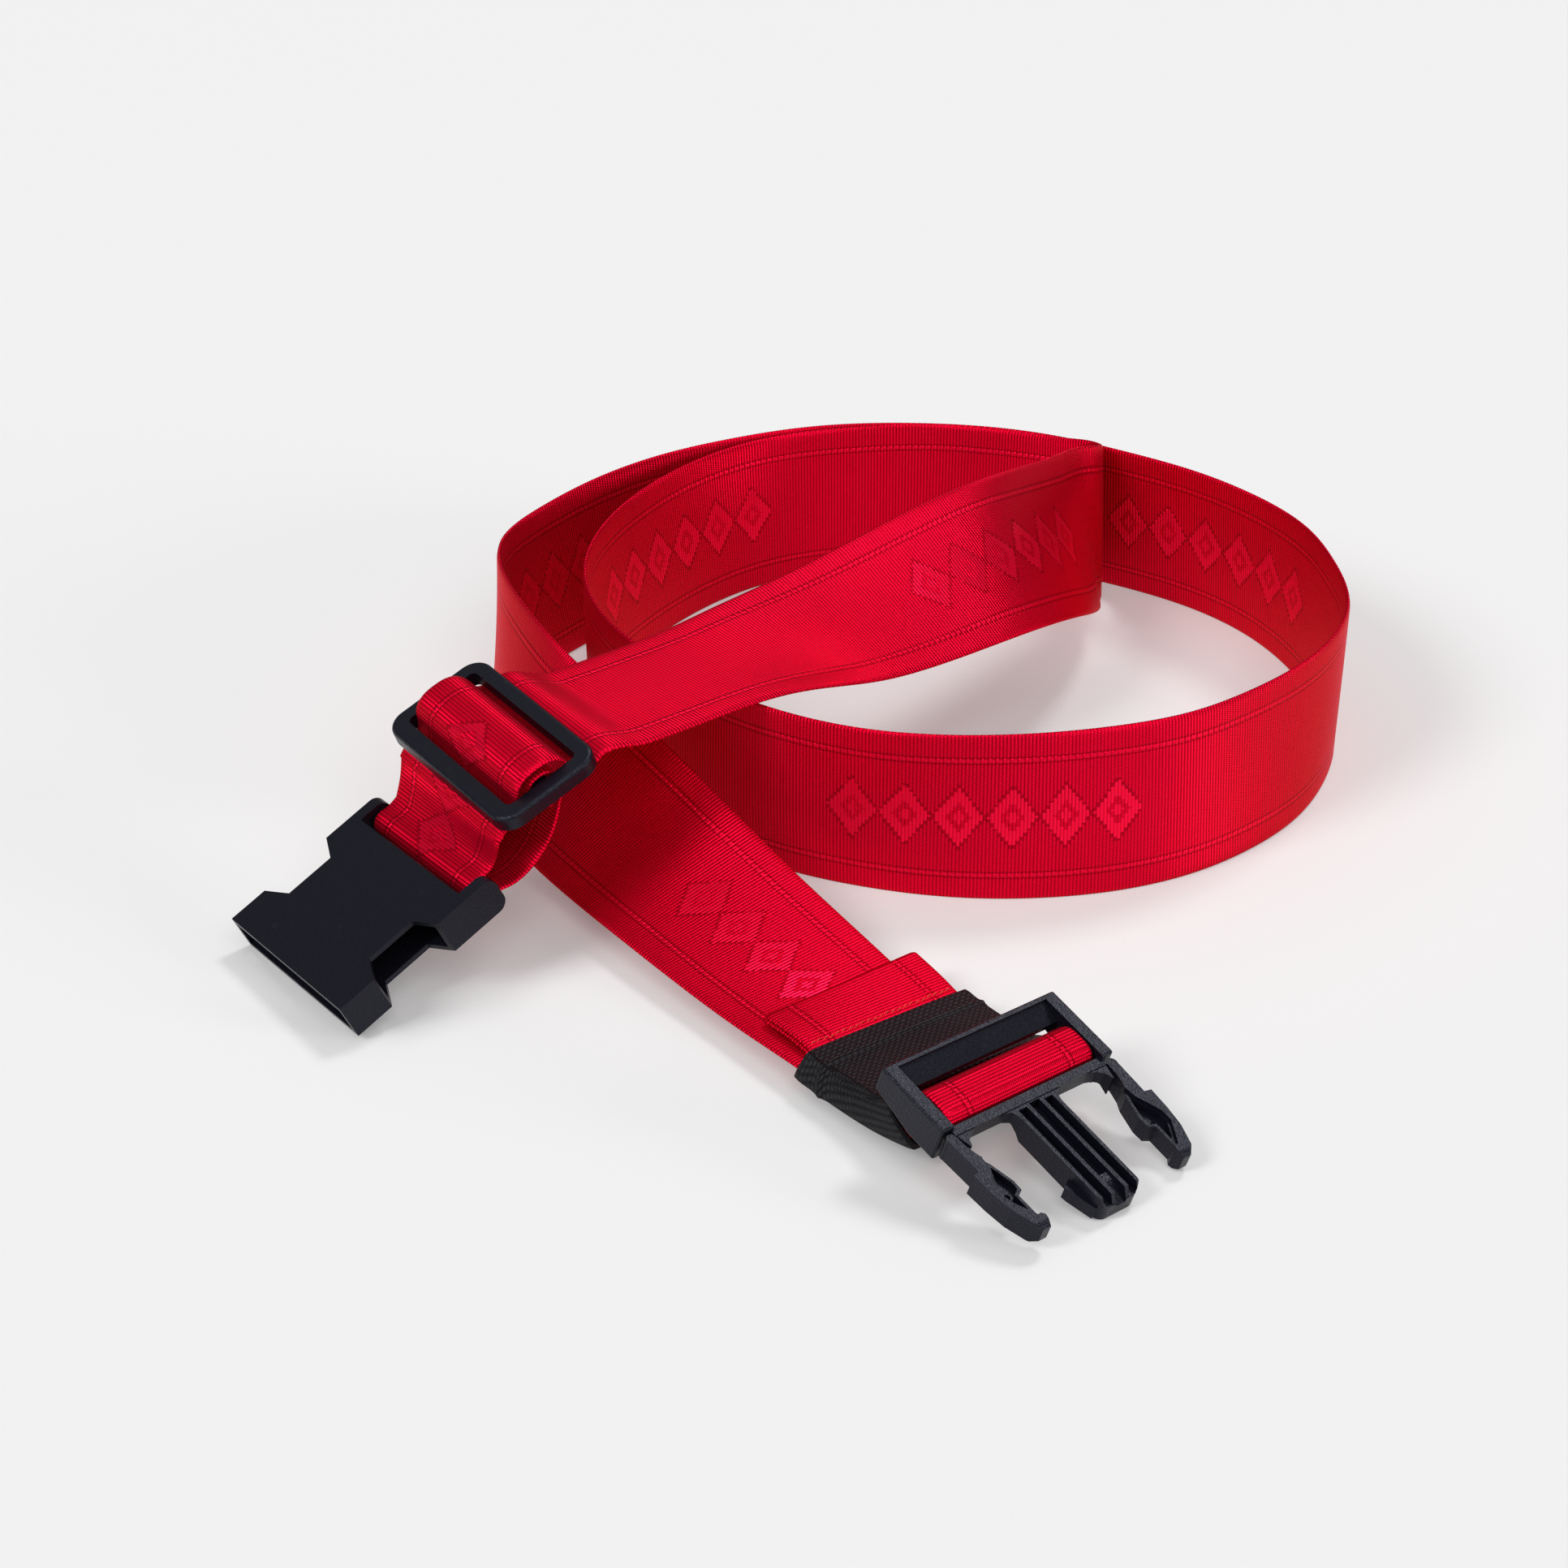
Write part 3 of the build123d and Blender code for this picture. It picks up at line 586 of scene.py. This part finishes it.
seam_rows = []
seam_at = KEEPER_REAR - 7.0
for i in range(SEAM_STITCHES):
    centre, across, heading = section(seam_at)
    lift, shift = lifts.at(seam_at)
    up = across.cross(heading)
    reach = (i - (SEAM_STITCHES - 1) / 2) * SEAM_PITCH + shift
    rise = lift + THICK / 2 + KEEPER_CROWN + KEEPER_THICK + 0.3
    seam_rows.append((centre + across * reach + up * rise, across, up))
keeper_stitches = stitches("keeper_stitches", seam_rows, radius=0.2)


# ---------------------------------------------------------------- materials
class Nodes:
    """Small helper for building a node tree line by line."""

    def __init__(self, name):
        self.material = bpy.data.materials.new(name)
        self.material.use_nodes = True
        self.tree = self.material.node_tree
        self.tree.nodes.clear()
        self.output = self.tree.nodes.new("ShaderNodeOutputMaterial")
        self.shader = self.tree.nodes.new("ShaderNodeBsdfPrincipled")
        self.tree.links.new(self.shader.outputs[0], self.output.inputs["Surface"])

    def put(self, socket, value):
        if isinstance(value, bpy.types.NodeSocket):
            self.tree.links.new(value, socket)
        else:
            socket.default_value = value

    def math(self, operation, a, b=0.0, c=0.0):
        node = self.tree.nodes.new("ShaderNodeMath")
        node.operation = operation
        for socket, value in zip(node.inputs, (a, b, c)):
            self.put(socket, value)
        return node.outputs[0]

    def mix(self, factor, a, b, blend="MIX"):
        node = self.tree.nodes.new("ShaderNodeMix")
        node.data_type = "RGBA"
        node.blend_type = blend
        self.put(node.inputs[0], factor)
        self.put(node.inputs[6], a)
        self.put(node.inputs[7], b)
        return node.outputs[2]

    def ramp(self, value, low, high, to_low=0.0, to_high=1.0):
        node = self.tree.nodes.new("ShaderNodeMapRange")
        node.interpolation_type = "SMOOTHSTEP"
        for socket, number in zip(node.inputs, (value, low, high, to_low, to_high)):
            self.put(socket, number)
        return node.outputs[0]

    def uv(self):
        node = self.tree.nodes.new("ShaderNodeUVMap")
        node.uv_map = "weave"
        split = self.tree.nodes.new("ShaderNodeSeparateXYZ")
        self.tree.links.new(node.outputs[0], split.inputs[0])
        return split.outputs[0], split.outputs[1], node.outputs[0]

    def place(self):
        return self.tree.nodes.new("ShaderNodeTexCoord").outputs["Object"]

    def noise(self, vector, scale, detail=2.0, rough=0.5):
        node = self.tree.nodes.new("ShaderNodeTexNoise")
        self.put(node.inputs["Vector"], vector)
        node.inputs["Scale"].default_value = scale
        node.inputs["Detail"].default_value = detail
        node.inputs["Roughness"].default_value = rough
        return node.outputs[0]

    def voronoi(self, vector, scale):
        node = self.tree.nodes.new("ShaderNodeTexVoronoi")
        self.put(node.inputs["Vector"], vector)
        node.inputs["Scale"].default_value = scale
        return node.outputs["Distance"]

    def bump(self, height, strength, distance):
        node = self.tree.nodes.new("ShaderNodeBump")
        node.inputs["Strength"].default_value = strength
        node.inputs["Distance"].default_value = distance
        self.put(node.inputs["Height"], height)
        self.tree.links.new(node.outputs[0], self.shader.inputs["Normal"])


def weave_cells(m, u, v, warp, weft):
    """A plain weave: 0 in the gaps, 1 on the crowns, every other row set over by half a thread."""
    a, b = m.math("DIVIDE", u, warp), m.math("DIVIDE", v, weft)
    row = m.math("FLOOR", b)
    odd = m.math("MULTIPLY", m.math("FLOORED_MODULO", row, 2.0), 0.5)
    across = m.math("SINE", m.math("MULTIPLY", m.math("FRACT", m.math("ADD", a, odd)), math.pi))
    along = m.math("SINE", m.math("MULTIPLY", m.math("FRACT", b), math.pi))
    return m.math("MULTIPLY", across, along), across, along


# The webbing's threads and pattern, in millimetres.
WARP, WEFT = 0.62, 1.02
EDGE_LINE_AT = 17.6
SELVAGE_FROM, SELVAGE_FULL = 23.2, 24.3
MOTIF_REPEAT, MOTIF_START, MOTIF_HALF = 242.2, 42.1, 44.6
LOZENGE_STEP, LOZENGE_MIDDLE = 14.87, 7.43
LOZENGE_LONG, LOZENGE_WIDE = 7.0, 9.2


def webbing_material():
    m = Nodes("red_webbing")
    u, v, uv = m.uv()
    cell, across, along = weave_cells(m, u, v, WARP, WEFT)

    # two woven lines near the edges, each a chain of small loops, and the plain-woven selvage outside them
    edge = m.math("ABSOLUTE", u)
    off_line = m.math("ABSOLUTE", m.math("SUBTRACT", edge, EDGE_LINE_AT))
    line = m.ramp(off_line, 0.75, 0.3)
    gutter = m.math("MULTIPLY", m.ramp(off_line, 1.5, 0.9), m.math("SUBTRACT", 1.0, line))
    rungs = m.math("SINE", m.math("MULTIPLY", m.math("FRACT", m.math("DIVIDE", v, 2 * WEFT)), math.pi))
    selvage = m.ramp(edge, SELVAGE_FROM, SELVAGE_FULL)

    # jacquard motif: a row of hollow lozenges, stepped to whole threads
    uq = m.math("MULTIPLY", m.math("FLOOR", m.math("DIVIDE", u, WARP)), WARP)
    vq = m.math("MULTIPLY", m.math("FLOOR", m.math("DIVIDE", v, WEFT)), WEFT)
    phase = m.math("FLOORED_MODULO", m.math("ADD", vq, MOTIF_START), MOTIF_REPEAT)
    period = m.math("SUBTRACT", phase, MOTIF_REPEAT / 2)
    inside = m.math("LESS_THAN", m.math("ABSOLUTE", period), MOTIF_HALF)
    local = m.math("FLOORED_MODULO", m.math("ADD", period, MOTIF_HALF), LOZENGE_STEP)
    local = m.math("SUBTRACT", local, LOZENGE_MIDDLE)
    along_share = m.math("DIVIDE", m.math("ABSOLUTE", local), LOZENGE_LONG)
    span = m.math("ADD", along_share, m.math("DIVIDE", m.math("ABSOLUTE", uq), LOZENGE_WIDE))
    hollow = m.math("MULTIPLY", m.math("LESS_THAN", span, 1.0), m.math("GREATER_THAN", span, 0.5))
    dot = m.math("LESS_THAN", span, 0.24)
    motif = m.math("MULTIPLY", m.math("MAXIMUM", hollow, dot), inside)
    rim = m.math("SUBTRACT", m.math("LESS_THAN", span, 1.12), m.math("LESS_THAN", span, 1.0))
    rim = m.math("MULTIPLY", rim, inside)
    groove = m.math("MAXIMUM", gutter, rim)

    # yarn: tonal variation from thread to thread and slow shade changes
    slow = m.noise(m.place(), 26.0, 2.0)
    yarn_map = m.tree.nodes.new("ShaderNodeMapping")
    yarn_map.inputs["Scale"].default_value = (0.12, 1.9, 1.0)
    m.tree.links.new(uv, yarn_map.inputs["Vector"])
    yarn = m.noise(yarn_map.outputs[0], 1.0, 2.0)

    height = m.math("ADD", m.math("MULTIPLY", cell, 0.85), m.math("MULTIPLY", along, 0.15))
    ribs = m.math("ADD", m.math("MULTIPLY", along, 1.35), m.math("MULTIPLY", across, 0.1))
    plain = m.math("MULTIPLY", height, m.math("SUBTRACT", 1.0, motif))
    mixed = m.math("ADD", plain, m.math("MULTIPLY", ribs, motif))
    raised = m.math("ADD", mixed, m.math("MULTIPLY", line, m.math("MULTIPLY_ADD", rungs, 0.9, 0.2)))
    raised = m.math("SUBTRACT", raised, m.math("MULTIPLY", groove, 0.9))
    raised = m.math("ADD", raised, m.math("MULTIPLY", selvage, m.math("MULTIPLY", along, 0.5)))

    # the colour is darker in the gaps between the threads and lighter on their crowns: painted shade and
    # painted highlight at the scale of the weave
    shade = m.math("MULTIPLY_ADD", height, 1.2, 0.19)
    shade = m.math("MULTIPLY", shade, m.math("MULTIPLY_ADD", slow, 0.3, 0.85))
    shade = m.math("MULTIPLY", shade, m.math("MULTIPLY_ADD", yarn, 0.5, 0.75))
    # the grooves beside the edge lines and round the lozenges are darkened: painted shade in the recesses
    shade = m.math("MULTIPLY", shade, m.math("MULTIPLY_ADD", groove, -0.5, 1.0))
    # the motif and the edge lines are woven a lighter red, which is their pattern; the extra lightening on
    # the thread crowns and on the loops of the lines is painted highlight
    lit_motif = m.math("MULTIPLY", motif, m.math("MULTIPLY_ADD", along, 0.5, 0.5))
    lit_line = m.math("MULTIPLY", line, m.math("MULTIPLY_ADD", rungs, 0.5, 0.1))
    lit = m.math("MAXIMUM", lit_motif, lit_line)
    dark = m.mix(shade, (0.14, 0.0, 0.003, 1), (0.94, 0.002, 0.034, 1))
    colour = m.mix(lit, dark, (1.0, 0.006, 0.046, 1))
    m.put(m.shader.inputs["Base Color"], colour)
    rough = m.math("SUBTRACT", 0.29, m.math("MULTIPLY", lit, 0.08))
    m.put(m.shader.inputs["Roughness"], m.math("MULTIPLY_ADD", yarn, 0.08, rough))
    m.shader.inputs["Metallic"].default_value = 0.74
    m.shader.inputs["Specular IOR Level"].default_value = 0.2
    m.shader.inputs["Specular Tint"].default_value = (1.0, 0.1, 0.18, 1)
    m.shader.inputs["Anisotropic"].default_value = 0.55
    tangent = m.tree.nodes.new("ShaderNodeTangent")
    tangent.direction_type = "UV_MAP"
    tangent.uv_map = "weave"
    m.tree.links.new(tangent.outputs[0], m.shader.inputs["Tangent"])
    m.shader.inputs["Sheen Weight"].default_value = 0.06
    m.shader.inputs["Sheen Roughness"].default_value = 0.3
    m.shader.inputs["Sheen Tint"].default_value = (1.0, 0.1, 0.16, 1)
    m.bump(raised, 0.42, 0.0003)
    return m.material


def plastic_material(name, base, rough, spark):
    """Moulded plastic with a fine spark-eroded grain and slightly rubbed spots."""
    m = Nodes(name)
    place = m.place()
    grain = m.noise(place, 2300.0, 3.0, 0.65)
    cells = m.voronoi(place, 1700.0)
    slow = m.noise(place, 55.0, 3.0)
    shade = m.math("MULTIPLY_ADD", grain, 0.9, 0.5)
    dark = m.mix(shade, (*(c * 0.35 for c in base), 1), (*base, 1))
    handled = m.ramp(m.noise(place, 180.0, 4.0, 0.7), 0.62, 0.78)
    rubbed = m.mix(m.math("MULTIPLY", handled, 0.3), dark, (spark, spark, spark * 1.15, 1))
    m.put(m.shader.inputs["Base Color"], rubbed)
    speckled = m.math("MULTIPLY_ADD", m.ramp(grain, 0.52, 0.66), 0.16, rough)
    m.put(m.shader.inputs["Roughness"], m.math("MULTIPLY_ADD", slow, 0.08, speckled))
    m.shader.inputs["Specular IOR Level"].default_value = 0.26
    m.shader.inputs["Specular Tint"].default_value = (0.8, 0.82, 1.0, 1)
    m.bump(m.math("ADD", grain, m.math("MULTIPLY", cells, 0.8)), 0.7, 0.00014)
    return m.material


TWILL_ROW, TWILL_PITCH, TWILL_STEP = 1.25, 2.1, 0.36


def keeper_material():
    m = Nodes("black_elastic")
    u, v, _ = m.uv()
    row = m.math("FLOOR", m.math("DIVIDE", v, TWILL_ROW))
    slant = m.math("ADD", m.math("DIVIDE", u, TWILL_PITCH), m.math("MULTIPLY", row, TWILL_STEP))
    twill = m.math("SINE", m.math("MULTIPLY", m.math("FRACT", slant), math.pi))
    step = m.math("SINE", m.math("MULTIPLY", m.math("FRACT", m.math("DIVIDE", v, TWILL_ROW)), math.pi))
    thread = m.math("MULTIPLY", m.math("POWER", twill, 0.7), m.math("MULTIPLY_ADD", step, 0.7, 0.3))
    fuzz = m.noise(m.place(), 3200.0, 2.0)
    strands = m.noise(m.place(), 700.0, 2.0)
    # the keeper's colour is lighter on the twill's crowns and darker in the gaps between the threads:
    # painted highlight and painted shade; the strands term is the yarn's own tone
    level = m.math("MULTIPLY", m.math("POWER", thread, 1.6), m.math("MULTIPLY_ADD", strands, 0.9, 0.5))
    tone = m.mix(level, (0.0008, 0.0008, 0.0011, 1), (0.022, 0.0205, 0.027, 1))
    m.put(m.shader.inputs["Base Color"], tone)
    m.put(m.shader.inputs["Roughness"], m.math("MULTIPLY_ADD", fuzz, 0.15, 0.5))
    m.shader.inputs["Specular IOR Level"].default_value = 0.2
    m.bump(m.math("ADD", thread, m.math("MULTIPLY", fuzz, 0.25)), 1.0, 0.0007)
    return m.material


def thread_material(name, low, high):
    m = Nodes(name)
    twist = m.noise(m.place(), 2400.0, 2.0)
    m.put(m.shader.inputs["Base Color"], m.mix(twist, (*low, 1), (*high, 1)))
    m.put(m.shader.inputs["Roughness"], m.math("MULTIPLY_ADD", twist, 0.2, 0.4))
    m.bump(twist, 0.4, 0.0001)
    return m.material


red = webbing_material()
black_plastic = plastic_material("black_plastic", (0.0042, 0.0044, 0.0085), 0.25, 0.03)
black_elastic = keeper_material()
orange_thread = thread_material("orange_thread", (0.45, 0.003, 0.003), (0.9, 0.03, 0.014))
black_thread = thread_material("black_thread", (0.004, 0.004, 0.005), (0.03, 0.03, 0.034))


def dress(obj, material):
    obj.data.materials.clear()
    obj.data.materials.append(material)


for name in ("plug_frame", "prong_left", "prong_right", "socket_shell", "tri_glide"):
    part = nodes[name]
    part.data.materials[0] = black_plastic
    bevel = part.modifiers.new("moulded_edges", "BEVEL")
    bevel.width = 0.00035
    bevel.segments = 2
    bevel.limit_method = "ANGLE"
    bevel.angle_limit = math.radians(32)
    bevel.harden_normals = False

# ---------------------------------------------------------------- floor
FLOOR_HALF = 40
corners = [(x * FLOOR_HALF, y * FLOOR_HALF, 0) for x, y in ((-1, -1), (1, -1), (1, 1), (-1, 1))]
floor = new_object("floor", corners, [(0, 1, 2, 3)])
paper = Nodes("paper")
paper_grain = paper.noise(paper.place(), 900.0, 2.0)
paper_tone = paper.mix(paper_grain, (0.575, 0.575, 0.575, 1), (0.585, 0.585, 0.585, 1))
paper.put(paper.shader.inputs["Base Color"], paper_tone)
paper.shader.inputs["Emission Color"].default_value = (1.0, 1.0, 1.0, 1)
paper.shader.inputs["Emission Strength"].default_value = 0.193
paper.shader.inputs["Roughness"].default_value = 0.9
paper.shader.inputs["Specular IOR Level"].default_value = 0.1
dress(floor, paper.material)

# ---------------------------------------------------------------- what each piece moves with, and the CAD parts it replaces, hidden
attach(webbing_main, "strap")
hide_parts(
    "webbing_plug_run",
    "webbing_outer_turn",
    "webbing_outer_back",
    "webbing_right_turn",
    "webbing_front_run",
    "webbing_inner_turn",
    "webbing_inner_back",
    "webbing_corner",
    "webbing_glide_run",
)
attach(webbing_tail, "strap")
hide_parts("webbing_tail", "hem_fold")
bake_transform(webbing_plug_end)
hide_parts("webbing_plug_lead_lower", "webbing_plug_wrap", "webbing_plug_lead_upper")
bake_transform(webbing_glide_lead)
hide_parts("webbing_glide_lead")
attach(webbing_glide_wrap, "glide")
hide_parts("webbing_glide_wrap")
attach(webbing_sewn_end, "glide")
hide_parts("webbing_sewn_end")
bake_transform(webbing_socket_loop)
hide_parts("webbing_socket_upper", "webbing_socket_wrap", "webbing_socket_lower")
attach(keeper, "keeper")
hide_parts("keeper_band")
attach(keeper_stitches, "keeper")
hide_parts("keeper_seam")
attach(hem_stitches, "strap")
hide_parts("hem_stitch")

# each sheet, its flat length in millimetres and what it lies on
sheets = (
    (webbing_main, END_CUT - RUN_CUT, floor),
    (webbing_tail, HEM_FOLD + HEM_LENGTH - RUN_CUT, webbing_main),
    (webbing_plug_end, 45.0 + RUN_CUT, "plug_frame"),
    (webbing_glide_lead, 30.0, "tri_glide"),
    (webbing_glide_wrap, 50.0, "tri_glide"),
    (webbing_sewn_end, 40.0, "tri_glide"),
    (webbing_socket_loop, 80.0, "socket_shell"),
)
for piece, length, resting in sheets:
    dress(piece, red)
dress(keeper, black_elastic)
dress(keeper_stitches, black_thread)
dress(hem_stitches, orange_thread)

# ---------------------------------------------------------------- light
world = bpy.data.worlds.new("studio")
world.use_nodes = True
sky = world.node_tree
direction = sky.nodes.new("ShaderNodeTexCoord")
split = sky.nodes.new("ShaderNodeSeparateXYZ")
rise = sky.nodes.new("ShaderNodeMapRange")
rise.interpolation_type = "SMOOTHSTEP"
rise.inputs["From Min"].default_value = 0.05
rise.inputs["From Max"].default_value = 1.0
rise.inputs["To Min"].default_value = 0.0
rise.inputs["To Max"].default_value = 0.5
sky.links.new(direction.outputs["Generated"], split.inputs[0])
sky.links.new(split.outputs[2], rise.inputs["Value"])
sky.links.new(rise.outputs[0], sky.nodes["Background"].inputs["Strength"])
sky.nodes["Background"].inputs["Color"].default_value = (1.0, 1.0, 1.0, 1)
scene.world = world
scene.view_settings.view_transform = "Standard"


def sun(name, strength, angle, toward):
    lamp = bpy.data.lights.new(name, "SUN")
    lamp.energy = strength
    lamp.angle = math.radians(angle)
    obj = bpy.data.objects.new(name, lamp)
    obj.rotation_euler = Vector(toward).normalized().to_track_quat("-Z", "Y").to_euler()
    scene.collection.objects.link(obj)


sun("left_softbox", 1.4, 22, (0.8, 0.55, -0.8))
sun("back_softbox", 1.05, 16, (-0.4, -0.55, -1.0))
sun("front_softbox", 1.0, 36, (-0.2, 0.8, -0.8))
sun("right_softbox", 0.9, 18, (-1.0, 0.35, -0.28))
